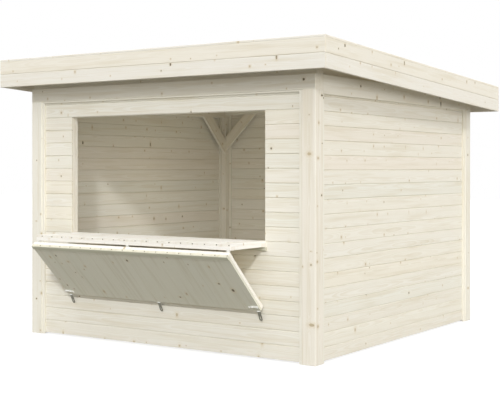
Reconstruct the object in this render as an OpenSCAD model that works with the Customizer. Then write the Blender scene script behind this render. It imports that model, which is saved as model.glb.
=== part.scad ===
// Wooden market stall: a boarded hut on four corner posts, with a serving hatch in its front,
// a folding counter and flap, and a shallow roof that falls to the back.
// The front looks along -Y. The ground is z = 0, and the origin is under the middle of the stall.

/* [Footprint] */
// Width of the stall over its corner posts
frame_w = 3000; // [2400:10:4000]
// Depth of the stall over its corner posts
frame_d = 3000; // [2400:10:4000]

/* [Posts and beams] */
// Side of a square corner post, and depth of the beams
post_w = 120; // [90:1:160]
// Height of the corner posts
post_h = 2097; // [1900:1:2600]
// Chamfer on each long edge of a post
post_chamfer = 5; // [2:1:20]
// Height of the front beam and the back beam
beam_h = 120; // [80:1:180]
// How far the side beams hang below the tops of the posts
side_beam_drop = 31; // [0:1:60]
// How far the front riser stands back from the post faces
riser_recess = 25; // [0:1:50]

/* [Walls] */
// Thickness of the wall boards
board_t = 19; // [14:1:35]
// Height of one wall board from joint to joint
board_pitch = 114; // [80:1:150]
// How far the board faces stand back from the post faces
board_recess = 25; // [18:1:40]
// Gap between the ground and the lowest board
wall_lift = 13; // [5:1:40]
// Width of the strips that hold the ends of the boards
strip_w = 28; // [15:1:40]
// Thickness of those strips
strip_t = 17; // [10:1:18]
// Height of the strip under the front beam and under the back beam
top_strip_h = 14; // [8:1:40]

/* [Knee braces] */
// Length of a brace along the post and along the beam
brace_leg = 400; // [250:5:600]
// Width of a brace across its slope
brace_w = 114; // [50:1:120]
// Thickness of a brace
brace_t = 28; // [25:1:50]
// How far a brace stands in from the inner face of the post
brace_inset = 5; // [1:1:8]

/* [Serving hatch] */
// Width of the hatch opening
hatch_w = 2060; // [1200:10:2200]
// Number of boards below the hatch opening
boards_below_hatch = 8; // [6:1:9]
// Number of boards beside the hatch opening
boards_beside_hatch = 9; // [6:1:9]
// Width of the hatch studs, and height of the hatch head and sill
stud_w = 45; // [35:1:70]
// Depth of the hatch studs, head and sill
stud_d = 60; // [40:1:90]

/* [Counter] */
// Width of the counter
counter_w = 2020; // [1200:10:2240]
// How far the middle of the counter stands to the right of the hatch's middle
counter_shift = 26; // [-60:1:60]
// How far the counter stands out from the boards
counter_reach = 478; // [300:1:700]
// Thickness of the boards on the counter and on the flap
panel_board_t = 20; // [15:1:28]
// Thickness of the battens behind those boards
panel_batten_t = 28; // [20:1:45]
// Width of those battens
panel_batten_w = 60; // [40:1:90]
// How far the counter's top stands above the lower edge of the hatch opening
counter_rise = 6; // [0:1:30]
// Height of the ledger under the counter
ledger_h = 30; // [20:1:60]
// Thickness of the ledger
ledger_t = 22; // [15:1:40]
// How far the ledger runs past each end of the counter
ledger_extra = 14; // [0:1:80]

/* [Flap] */
// Width of the flap
flap_w = 2040; // [1200:10:2230]
// How far the middle of the flap stands to the right of the hatch's middle
flap_shift = 8; // [-60:1:60]
// Angle between the flap and the level
flap_angle = 45; // [35:1:60]
// Level clearance between the foot of the flap and the wall boards
flap_foot_gap = 22; // [15:1:60]
// Gap between the counter and the top of the flap
flap_gap = 12; // [6:1:14]
// How far the flap's hinge line stands back from the counter's front edge
flap_setback = 5; // [4:1:20]
// Width of the thin strip along the top of the flap's outer face
flap_strip_w = 37; // [20:1:60]
// Thickness of that strip
flap_strip_t = 6; // [3:1:15]

/* [Ironmongery] */
// Length of a hinge knuckle
hinge_w = 28; // [20:1:60]
// Length of a hinge leaf away from its knuckle
hinge_leaf = 55; // [30:1:90]
// Thickness of the steel plate in hinges and hasps
plate_t = 2; // [1.5:0.5:4]
// Distance from the end of the counter to an end hinge, and from the end of the flap to a hasp
iron_end = 24; // [20:1:200]
// Width of a hasp
hasp_w = 29; // [20:1:50]
// Length of a hasp below its knuckle
hasp_len = 88; // [60:1:140]
// Lean of a hanging hasp towards the wall
hasp_lean = 26; // [0:1:35]
// Length of the slot in a hasp
hasp_slot = 30; // [15:1:50]
// Width of the slot in a hasp
hasp_slot_w = 9; // [5:1:14]
// Length of the fixed leaf that holds a hasp
hasp_leaf = 36; // [20:1:45]
// Outer radius of a hasp's knuckle
hasp_knuckle_r = 5; // [3:0.5:8]
// Radius of a slide bolt's rod
bolt_r = 4; // [3:0.5:8]
// Length of a slide bolt
bolt_len = 93; // [60:1:200]
// Length of the bent end of a slide bolt
bolt_bend = 16; // [10:1:40]
// Distance from the foot of the flap up to a slide bolt
bolt_up = 50; // [25:1:120]
// Side of a slide bolt's square keepers
keeper_w = 14; // [10:1:25]

/* [Roof] */
// Slope of the roof in degrees
roof_pitch = 2.8; // [1:0.1:6]
// Overhang of the roof at the front
eave_front = 200; // [100:5:400]
// Overhang of the roof at the back
eave_back = 240; // [100:5:400]
// Overhang of the roof at each side
eave_side = 200; // [100:5:400]
// Width of a rafter
rafter_w = 45; // [35:1:70]
// Height of a rafter
rafter_h = 66; // [50:1:140]
// Number of rafters between the side walls
rafter_count = 7; // [4:1:11]
// Thickness of the roof boards
deck_t = 19; // [15:1:28]
// Thickness of the roofing felt
felt_t = 3; // [2:1:6]
// Thickness of the fascia boards
fascia_t = 19; // [15:1:28]
// Height of the upper fascia board
fascia_upper_h = 112; // [60:1:160]
// Height of the lower fascia board
fascia_lower_h = 115; // [60:1:160]
// Open joint between the two fascia boards
fascia_joint = 0.3; // [0.2:0.1:0.8]
// Width of the trim on the roof's edge
trim_w = 45; // [25:1:90]
// Thickness of that trim
trim_t = 19; // [8:1:30]
// Open joint at the corners of the trim
trim_joint = 1; // [1:1:5]

/* [Hidden] */
// Half sizes of the footprint, and the same lines at the boards and at the inner post faces
half_w = frame_w / 2;
half_d = frame_d / 2;
inner_w = half_w - post_w;
inner_d = half_d - post_w;
board_back = board_recess + board_t;

// Heights
beam_top = post_h + beam_h;
side_beam_z = post_h - side_beam_drop;
hatch_z = wall_lift + boards_below_hatch * board_pitch;
hatch_top = hatch_z + boards_beside_hatch * board_pitch;
panel_t = panel_board_t + panel_batten_t;
counter_top = hatch_z + counter_rise;
counter_z = counter_top - panel_t;

// The roof: heights are measured down from the top face of the roof boards
roof_front = -half_d - eave_front;
roof_back = half_d + eave_back;
roof_half_w = half_w + eave_side;
rafter_drop = deck_t + rafter_h;
fascia_drop = fascia_upper_h + fascia_joint + fascia_lower_h;
gable_x = half_w - board_back;
end_rafter_x = gable_x - rafter_w / 2;
fly_rafter_x = roof_half_w - fascia_t - rafter_w / 2;

// The flap, drawn with its own x along the stall, y down its slope and z towards the wall
board_face = -half_d + board_recess;
flap_y = board_face - counter_reach + flap_setback;
flap_z = counter_z - flap_gap;
flap_len = (board_face - flap_foot_gap - flap_y) / cos(flap_angle);
hinge_x = [for (place = [-1:1]) counter_shift + place * (counter_w / 2 - iron_end)];
hasp_x = [for (place = [-1:1]) place * (flap_w / 2 - iron_end)];
knuckle_r = flap_gap / 2;
bolt_stand = bolt_r + 1;

// The stall is shifted along Y so that its whole outline is centred on the origin
front_reach = min(roof_front, flap_y - (panel_t + flap_strip_t) * sin(flap_angle));
shift_y = -(front_reach + roof_back) / 2;

wood_pale = "#e9e4d3";
wood_wall = "#e4dfcc";
wood_warm = "#e6dcc2";
wood_shade = "#c9c3ae";
felt_grey = "#5b5d5c";
steel = "#b9bdbe";

// Height of the top face of the roof boards at a place along Y
function roof_z(y) = beam_top + rafter_drop + (half_d - y) * tan(roof_pitch);

// A box from its lowest corner to its highest corner
module box(low, high) {
    translate([low.x, low.y, low.z])
        cube([high.x - low.x, high.y - low.y, high.z - low.z]);
}

// A box and its mirror image on the other side of the middle of the stall
module box_pair(low, high) {
    box(low, high);
    mirror([1, 0, 0]) box(low, high);
}

// An upright outline in Y and Z, drawn out along X
module along_x(x0, x1, points) {
    translate([x0, 0, 0]) rotate([90, 0, 90])
        linear_extrude(height = x1 - x0) polygon(points);
}

// A layer of the roof between two depths below the top face of the roof boards
module roof_layer(x0, x1, y0, y1, upper, lower) {
    along_x(x0, x1, [[y0, roof_z(y0) - lower], [y1, roof_z(y1) - lower],
        [y1, roof_z(y1) - upper], [y0, roof_z(y0) - upper]]);
}

// ---- Posts and beams ----

module post(side_x, side_y) {
    color(wood_pale)
    translate([side_x * (half_w - post_w / 2), side_y * (half_d - post_w / 2), 0])
        linear_extrude(height = post_h)
            polygon([for (turn = [0:3], end = [-1, 1])
                let (reach = post_w / 2, flat = end * (post_w / 2 - post_chamfer))
                [reach * cos(90 * turn) - flat * sin(90 * turn),
                 reach * sin(90 * turn) + flat * cos(90 * turn)]]);
}

module post_front_left() { post(-1, -1); }
module post_front_right() { post(1, -1); }
module post_back_left() { post(-1, 1); }
module post_back_right() { post(1, 1); }

module beam_front() {
    color(wood_pale) box([-half_w, -half_d, post_h], [half_w, -inner_d, beam_top]);
}

module beam_back() {
    color(wood_pale)
    along_x(-half_w, half_w, [[inner_d, post_h], [half_d, post_h],
        [half_d, roof_z(half_d) - rafter_drop], [inner_d, roof_z(inner_d) - rafter_drop]]);
}

module beam_left() {
    color(wood_pale) box([-half_w, -inner_d, side_beam_z], [-inner_w, inner_d, beam_top]);
}

module beam_right() {
    color(wood_pale) box([inner_w, -inner_d, side_beam_z], [half_w, inner_d, beam_top]);
}

// The front riser lifts the front ends of the rafters
module riser_front() {
    front = -half_d + riser_recess;
    color(wood_shade)
    along_x(-half_w, half_w, [[front, beam_top], [-inner_d, beam_top],
        [-inner_d, roof_z(-inner_d) - rafter_drop], [front, roof_z(front) - rafter_drop]]);
}

// ---- Walls ----

// A part of the front wall or the back wall, where side_y is -1 or 1
module wall_y(side_y, x0, x1, z0, z1) {
    outer = side_y * (half_d - board_recess);
    inner = side_y * (half_d - board_back);
    color(wood_wall) box([x0, min(outer, inner), z0], [x1, max(outer, inner), z1]);
}

// A side wall, where side_x is -1 or 1
module wall_x(side_x) {
    outer = side_x * (half_w - board_recess);
    inner = side_x * (half_w - board_back);
    color(wood_wall)
    box([min(outer, inner), -inner_d, wall_lift], [max(outer, inner), inner_d, side_beam_z]);
}

module front_wall_lower() { wall_y(-1, -inner_w, inner_w, wall_lift, hatch_z); }
module front_wall_left() { wall_y(-1, -inner_w, -hatch_w / 2, hatch_z, hatch_top); }
module front_wall_right() { wall_y(-1, hatch_w / 2, inner_w, hatch_z, hatch_top); }
module front_wall_upper() { wall_y(-1, -inner_w, inner_w, hatch_top, post_h); }
module back_wall() { wall_y(1, -inner_w, inner_w, wall_lift, post_h); }
module left_wall() { wall_x(-1); }
module right_wall() { wall_x(1); }

// The strips at both ends of every wall, at a depth behind the post faces
module corner_strips(depth) {
    color(wood_warm) for (side_y = [-1, 1]) mirror([0, side_y < 0 ? 1 : 0, 0]) {
        box_pair([inner_w - strip_w, half_d - depth - strip_t, 0],
            [inner_w, half_d - depth, post_h]);
        box_pair([half_w - depth - strip_t, inner_d - strip_w, 0],
            [half_w - depth, inner_d, side_beam_z]);
    }
}

module corner_strips_outside() { corner_strips(board_recess - strip_t); }
module corner_strips_inside() { corner_strips(board_back); }

module top_strips() {
    outer = half_d - board_recess + strip_t;
    color(wood_warm) for (side_y = [-1, 1]) mirror([0, side_y < 0 ? 1 : 0, 0])
        box([-inner_w + strip_w, half_d - board_recess, post_h - top_strip_h],
            [inner_w - strip_w, outer, post_h]);
}

// The tapered boards that close the space between a side beam and the roof boards
module gable_wedges() {
    color(wood_shade) for (side_x = [0, 1]) mirror([side_x, 0, 0])
        along_x(gable_x, gable_x + board_t, [[-inner_d, beam_top], [inner_d, beam_top],
            [inner_d, roof_z(inner_d) - deck_t], [-inner_d, roof_z(-inner_d) - deck_t]]);
}

// ---- Knee braces ----

// A brace from the post at the origin, rising towards +X to the beam above it
module brace(top_z) {
    cut = brace_w * sqrt(2);
    translate([0, brace_t, top_z]) rotate([90, 0, 0]) linear_extrude(height = brace_t)
        polygon([[0, -brace_leg], [brace_leg, 0], [brace_leg - cut, 0], [0, cut - brace_leg]]);
}

// The two braces of a side wall, where side_x is -1 or 1
module side_braces(side_x) {
    color(wood_shade) mirror([side_x < 0 ? 1 : 0, 0, 0])
        for (side_y = [0, 1]) mirror([0, side_y, 0])
            translate([inner_w + brace_inset, inner_d, 0])
                rotate([0, 0, -90]) brace(side_beam_z);
}

module braces_back() {
    color(wood_shade) for (side_x = [0, 1]) mirror([side_x, 0, 0])
        translate([-inner_w, inner_d + brace_inset, 0]) brace(post_h);
}

module braces_left() { side_braces(-1); }
module braces_right() { side_braces(1); }

// ---- Serving hatch ----

module hatch_studs() {
    back = -half_d + board_back;
    color(wood_pale)
    box_pair([hatch_w / 2, back, 0], [hatch_w / 2 + stud_w, back + stud_d, post_h]);
}

// A level timber between the hatch studs
module hatch_bar(z0) {
    back = -half_d + board_back;
    color(wood_pale)
    box([-hatch_w / 2, back, z0], [hatch_w / 2, back + stud_d, z0 + stud_w]);
}

module hatch_head() { hatch_bar(hatch_top); }
module hatch_sill() { hatch_bar(hatch_z - stud_w); }

// ---- Panels of the counter and the flap ----
// A panel lies in X and Y with its boards on z = 0 and above, and its battens below

module panel_rails(width, length) {
    for (y = [0, length - panel_batten_w])
        box([-width / 2, y, -panel_batten_t], [width / 2, y + panel_batten_w, 0]);
}

module panel_cross_battens(width, length) {
    for (place = [-1, 0, 1]) {
        x = place * (width - panel_batten_w) / 2;
        box([x - panel_batten_w / 2, panel_batten_w, -panel_batten_t],
            [x + panel_batten_w / 2, length - panel_batten_w, 0]);
    }
}

// The counter's place: its front edge is y = 0 and its boards start at z = 0
module at_counter() {
    translate([counter_shift, board_face - counter_reach, counter_z + panel_batten_t])
        children();
}

module counter_boards() {
    color(wood_pale) at_counter()
        box([-counter_w / 2, 0, 0], [counter_w / 2, counter_reach, panel_board_t]);
}

module counter_rails() {
    color(wood_pale) at_counter() panel_rails(counter_w, counter_reach);
}

module counter_cross_battens() {
    color(wood_shade) at_counter() panel_cross_battens(counter_w, counter_reach);
}

module counter_ledger() {
    half = counter_w / 2 + ledger_extra;
    color(wood_pale)
    box([counter_shift - half, board_face - ledger_t, counter_z - ledger_h],
        [counter_shift + half, board_face, counter_z]);
}

// The flap's place: y = 0 is its top edge, y runs down the slope to its foot by the wall,
// and z = 0 is the face towards the wall. Its outer face is z = -panel_t.
module at_flap() {
    translate([flap_shift, flap_y, flap_z]) rotate([-flap_angle, 0, 0]) children();
}

module flap_boards() {
    color(wood_shade) at_flap()
        box([-flap_w / 2, 0, -panel_t], [flap_w / 2, flap_len, -panel_batten_t]);
}

module flap_rails() {
    color(wood_pale) at_flap() panel_rails(flap_w, flap_len);
}

module flap_cross_battens() {
    color(wood_pale) at_flap() panel_cross_battens(flap_w, flap_len);
}

module flap_top_strip() {
    color(wood_warm) at_flap()
        box([-flap_w / 2, 0, -panel_t - flap_strip_t], [flap_w / 2, flap_strip_w, -panel_t]);
}

// ---- Ironmongery ----

// A rod along X, from x0 to x1
module rod_x(x0, x1, radius) {
    translate([x0, 0, 0]) rotate([0, 90, 0]) cylinder(h = x1 - x0, r = radius, $fn = 32);
}

// The hinges lie in the fold, with one leaf under the counter and one behind the flap
module flap_hinges() {
    color(steel) for (x = hinge_x) {
        translate([0, flap_y, counter_z - knuckle_r])
            rod_x(x - hinge_w / 2, x + hinge_w / 2, knuckle_r);
        box([x - hinge_w / 2, flap_y, counter_z - plate_t],
            [x + hinge_w / 2, flap_y + hinge_leaf, counter_z]);
        at_flap() translate([x - flap_shift, 0, 0])
            box([-hinge_w / 2, 0, 0], [hinge_w / 2, hinge_leaf, plate_t]);
    }
}

// A hasp's plate in X and Y, hanging from y = 0 towards -Y, with a slot by its round end.
// Each disc is turned so that its own seam lies inside the straight part that it joins.
module hasp_plate() {
    round_y = -hasp_len + hasp_w / 2;
    slot_run = hasp_slot - hasp_slot_w;
    difference() {
        union() {
            translate([-hasp_w / 2, round_y, 0]) cube([hasp_w, -round_y, plate_t]);
            translate([0, round_y, 0]) rotate([0, 0, 90])
                cylinder(h = plate_t, r = hasp_w / 2, $fn = 48);
        }
        for (end = [0, 1]) translate([0, round_y + end * slot_run, -1])
            rotate([0, 0, 90 - 180 * end])
                cylinder(h = plate_t + 2, r = hasp_slot_w / 2, $fn = 32);
        translate([-hasp_slot_w / 2, round_y, -1])
            cube([hasp_slot_w, slot_run, plate_t + 2]);
    }
}

// The hasps hang from knuckles at the foot of the flap, below the edge of its outer face.
// Each has a fixed leaf on the end of the flap.
module hasps() {
    color(steel) at_flap() for (x = hasp_x) {
        box([x - hasp_w / 2, flap_len, -panel_t],
            [x + hasp_w / 2, flap_len + plate_t, -panel_t + hasp_leaf]);
        translate([x, flap_len + hasp_knuckle_r + plate_t / 8, -panel_t + plate_t / 2])
            rotate([flap_angle, 0, 0]) {
                rod_x(-hasp_w / 2, hasp_w / 2, hasp_knuckle_r);
                rotate([90 + hasp_lean, 0, 0]) translate([0, 0, -plate_t / 2]) hasp_plate();
            }
    }
}

// The slide bolts lie on the flap's outer face, each with a bent end and two keepers
module slide_bolts() {
    y = flap_len - bolt_up;
    end = flap_w / 2;
    color(steel) at_flap() for (side = [0, 1]) mirror([side, 0, 0]) {
        translate([0, y, -panel_t - bolt_stand]) {
            rod_x(end - bolt_len, end, bolt_r);
            translate([end - bolt_len + bolt_r, 0, 0]) rotate([-90, 0, 0])
                cylinder(h = bolt_bend, r = bolt_r, $fn = 32);
        }
        for (x = [end - keeper_w, end - bolt_len + 2 * keeper_w])
            box([x, y - keeper_w / 2, -panel_t - bolt_stand - bolt_r - plate_t],
                [x + keeper_w, y + keeper_w / 2, -panel_t]);
    }
}

// ---- Roof ----

module rafters() {
    inner_front = roof_front + fascia_t;
    inner_back = roof_back - fascia_t;
    step = 2 * end_rafter_x / (rafter_count - 1);
    places = [-fly_rafter_x, for (i = [0:rafter_count - 1]) i * step - end_rafter_x,
        fly_rafter_x];
    color(wood_shade) for (x = places)
        roof_layer(x - rafter_w / 2, x + rafter_w / 2, inner_front, inner_back,
            deck_t, rafter_drop);
}

module roof_deck() {
    half = roof_half_w - fascia_t;
    color(wood_wall)
    roof_layer(-half, half, roof_front + fascia_t, roof_back - fascia_t, 0, deck_t);
}

module roof_felt() {
    half = roof_half_w - trim_w;
    color(felt_grey)
    roof_layer(-half, half, roof_front + trim_w, roof_back - trim_w, -felt_t, 0);
}

// The upper and the lower fascia board of one stretch
module fascia(x0, x1, y0, y1) {
    roof_layer(x0, x1, y0, y1, 0, fascia_upper_h);
    roof_layer(x0, x1, y0, y1, fascia_upper_h + fascia_joint, fascia_drop);
}

module fascia_front() {
    color(wood_pale) fascia(-roof_half_w, roof_half_w, roof_front, roof_front + fascia_t);
}

module fascia_back() {
    color(wood_pale) fascia(-roof_half_w, roof_half_w, roof_back - fascia_t, roof_back);
}

module fascia_left() {
    color(wood_pale)
    fascia(-roof_half_w, -roof_half_w + fascia_t, roof_front + fascia_t, roof_back - fascia_t);
}

module fascia_right() {
    color(wood_pale)
    fascia(roof_half_w - fascia_t, roof_half_w, roof_front + fascia_t, roof_back - fascia_t);
}

module roof_trims() {
    inner_front = roof_front + trim_w;
    inner_back = roof_back - trim_w;
    color(wood_pale) {
        roof_layer(-roof_half_w, roof_half_w, roof_front, inner_front, -trim_t, 0);
        roof_layer(-roof_half_w, roof_half_w, inner_back, roof_back, -trim_t, 0);
        for (side_x = [0, 1]) mirror([side_x, 0, 0])
            roof_layer(roof_half_w - trim_w, roof_half_w, inner_front + trim_joint,
                inner_back - trim_joint, -trim_t, 0);
    }
}

// A piece at its place in the centred outline
module placed() {
    translate([0, shift_y, 0]) children();
}

placed() post_front_left();
placed() post_front_right();
placed() post_back_left();
placed() post_back_right();
placed() beam_front();
placed() beam_back();
placed() beam_left();
placed() beam_right();
placed() riser_front();
placed() front_wall_lower();
placed() front_wall_left();
placed() front_wall_right();
placed() front_wall_upper();
placed() left_wall();
placed() right_wall();
placed() back_wall();
placed() corner_strips_outside();
placed() corner_strips_inside();
placed() top_strips();
placed() gable_wedges();
placed() braces_back();
placed() braces_left();
placed() braces_right();
placed() hatch_studs();
placed() hatch_head();
placed() hatch_sill();
placed() counter_boards();
placed() counter_rails();
placed() counter_cross_battens();
placed() counter_ledger();
placed() flap_boards();
placed() flap_rails();
placed() flap_cross_battens();
placed() flap_top_strip();
placed() flap_hinges();
placed() hasps();
placed() slide_bolts();
placed() rafters();
placed() roof_deck();
placed() roof_felt();
placed() fascia_front();
placed() fascia_back();
placed() fascia_left();
placed() fascia_right();
placed() roof_trims();
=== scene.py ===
"""The looks of the wooden market stall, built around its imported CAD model.

Every timber is a separate stick or board with its own grain, laid where its CAD node lies.
Lengths are in metres. The front of the stall looks along -Y, and the ground is z = 0.
"""
import math
import random

import bpy
import numpy as np
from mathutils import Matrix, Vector


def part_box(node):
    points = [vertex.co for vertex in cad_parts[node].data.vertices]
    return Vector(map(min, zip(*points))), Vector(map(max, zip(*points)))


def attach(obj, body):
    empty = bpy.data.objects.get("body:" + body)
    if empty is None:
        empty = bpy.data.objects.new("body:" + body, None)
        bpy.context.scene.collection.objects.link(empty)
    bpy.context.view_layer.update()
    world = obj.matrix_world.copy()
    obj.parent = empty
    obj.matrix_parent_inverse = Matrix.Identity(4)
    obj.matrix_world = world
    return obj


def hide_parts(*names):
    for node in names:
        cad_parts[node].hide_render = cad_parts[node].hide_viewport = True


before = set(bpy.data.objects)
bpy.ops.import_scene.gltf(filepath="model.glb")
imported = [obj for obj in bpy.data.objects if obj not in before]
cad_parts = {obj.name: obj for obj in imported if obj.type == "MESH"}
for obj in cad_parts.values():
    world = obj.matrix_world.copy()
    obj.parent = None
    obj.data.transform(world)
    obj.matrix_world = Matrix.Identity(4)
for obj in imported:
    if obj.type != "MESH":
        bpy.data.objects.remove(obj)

MM = 0.001
X = np.array([1.0, 0.0, 0.0])
Y = np.array([0.0, 1.0, 0.0])
Z = np.array([0.0, 0.0, 1.0])

# ---- Sizes that the boxes of the CAD nodes don't give ----

# Boards and timbers. A panel is the counter or the flap: boards on battens
BOARD_PITCH = 114 * MM
POST_CHAMFER = 2.5 * MM
POST_WIDTH = 120 * MM
DECK_THICK = 19 * MM
BRACE_WIDTH = 114 * MM
PANEL_BOARD = 20 * MM
PANEL_BATTEN = 28 * MM
PANEL = PANEL_BOARD + PANEL_BATTEN
# Depth and height of the grooves in the boards' edges
WALL_GROOVE = (4.5 * MM, 4 * MM)
PANEL_GROOVE = (10 * MM, 8 * MM)
# The flap hangs at this angle, and has battens and a strip along its top
FLAP_ANGLE = math.radians(45)
FLAP_BATTEN = 60 * MM
TOP_STRIP_WIDTH = 37 * MM
TOP_STRIP_THICK = 6 * MM

# Chamfers at the foot and the head of a fascia's lower board, and of its upper one
LOWER_FASCIA = (2 * MM, 5 * MM)
UPPER_FASCIA = (3 * MM, 3 * MM)

# Roofing felt: each strip laps over the one below it, and they stand a little clear of each
# other and of the roof boards
FELT_STRIPS = 4
FELT_THICK = 1.4 * MM
FELT_LAP = 80 * MM
FELT_CLEAR = 0.2 * FELT_THICK
FELT_RISE = 0.2 * MM

# Steel plates and their eased edges, knuckles with their pins, and screws
PLATE = 2 * MM
STEEL_EASE = 0.4 * MM
KNUCKLE_R = 6 * MM
KNUCKLE_GAP = 0.4 * MM
PIN_R = 1.6 * MM
HINGE_SCREWS = (18 * MM, 42 * MM)
SCREW_R = 2.6 * MM
SCREW_STAND = 0.9 * MM

# Hasps. A slot has a width and a length
HASP_WIDTH = 29 * MM
HASP_LENGTH = 88 * MM
HASP_SLOT = (9 * MM, 30 * MM)
HASP_LEAF = 36 * MM
HASP_KNUCKLE_R = 5 * MM
HASP_LEAN = math.radians(26)
HASP_SCREW_OUT = 7 * MM
HASP_SCREW_IN = 0.6 * HASP_LEAF

# Slide bolts: the rod, how far it stands off the flap, and its back plate and keepers
BOLT_R = 4 * MM
BOLT_STAND = 5 * MM
BOLT_LENGTH = 93 * MM
BOLT_BEND = 16 * MM
BOLT_UP = 50 * MM
KEEPER = 14 * MM
BOLT_PLATE = 1 * MM
BOLT_PLATE_WIDTH = 1.4 * KEEPER
BOLT_PLATE_INSET = 22 * MM
BOLT_PLATE_LENGTH = BOLT_LENGTH - 24 * MM

# How the wood was sawn. In millimetres: how far the pith lies from the middle of a timber that
# holds it, and how far to the side of one that doesn't, and behind it
PITH_INSIDE = 9
PITH_ASIDE = 40
PITH_BEHIND = (12, 95)
# The length of log that sticks are cut from, and the boards' slight bow: its height, the
# length of its straight bits, and how fast it waves
LOG_LENGTH = 40
BOARD_BOW = 0.35 * MM
BOW_STEP = 0.45
BOW_WAVES = 1.9
# A strip of board narrower than this is left out
SLIVER = 2 * MM


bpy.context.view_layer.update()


# ---- What the CAD nodes say ----

def box(node):
    """Lowest and highest corner of a CAD node."""
    low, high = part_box(node)
    return np.array(low), np.array(high)


def loose_boxes(node):
    """The boxes of the separate solids in a CAD node, sorted along X, then Y, then Z."""
    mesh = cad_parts[node].data
    points = np.array([vertex.co[:] for vertex in mesh.vertices])
    keys = np.unique(np.round(points, 5), axis=0, return_inverse=True)[1].ravel()
    parent = list(range(keys.max() + 1))

    def top(key):
        while parent[key] != key:
            key = parent[key]
        return key

    for face in mesh.polygons:
        corners = [top(keys[index]) for index in face.vertices]
        for corner in corners:
            parent[top(corner)] = top(corners[0])
    groups = {}
    for point, key in zip(points, keys):
        groups.setdefault(top(key), []).append(point)
    boxes = [(np.min(group, axis=0), np.max(group, axis=0)) for group in groups.values()]
    return sorted(boxes, key=lambda pair: tuple(np.round(pair[0], 3)))


DECK_LOW, DECK_HIGH = box("roof_deck")
SLOPE = (DECK_HIGH[2] - DECK_LOW[2] - DECK_THICK) / (DECK_HIGH[1] - DECK_LOW[1])
DOWN_ROOF = np.array([0.0, 1.0, -SLOPE])
ROOM_LOW, ROOM_HIGH = box("left_wall")
ROOM_Y = (ROOM_LOW[1] + ROOM_HIGH[1]) / 2


def roof_z(y):
    """Height of the top of the roof boards."""
    return DECK_HIGH[2] - (y - DECK_LOW[1]) * SLOPE


# ---- Meshes of many sticks ----

def unit(vector):
    """A vector at length 1."""
    return vector / np.linalg.norm(vector)


def rectangle(width, height, ease=1.2 * MM):
    """An outline with its corners eased."""
    return [(ease, 0), (width - ease, 0), (width, ease), (width, height - ease),
            (width - ease, height), (ease, height), (0, height - ease), (0, ease)]


def disc(radius, sides=16):
    """A round outline about its middle."""
    turns = [2 * math.pi * side / sides for side in range(sides)]
    return [(radius * math.cos(turn), radius * math.sin(turn)) for turn in turns]


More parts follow.
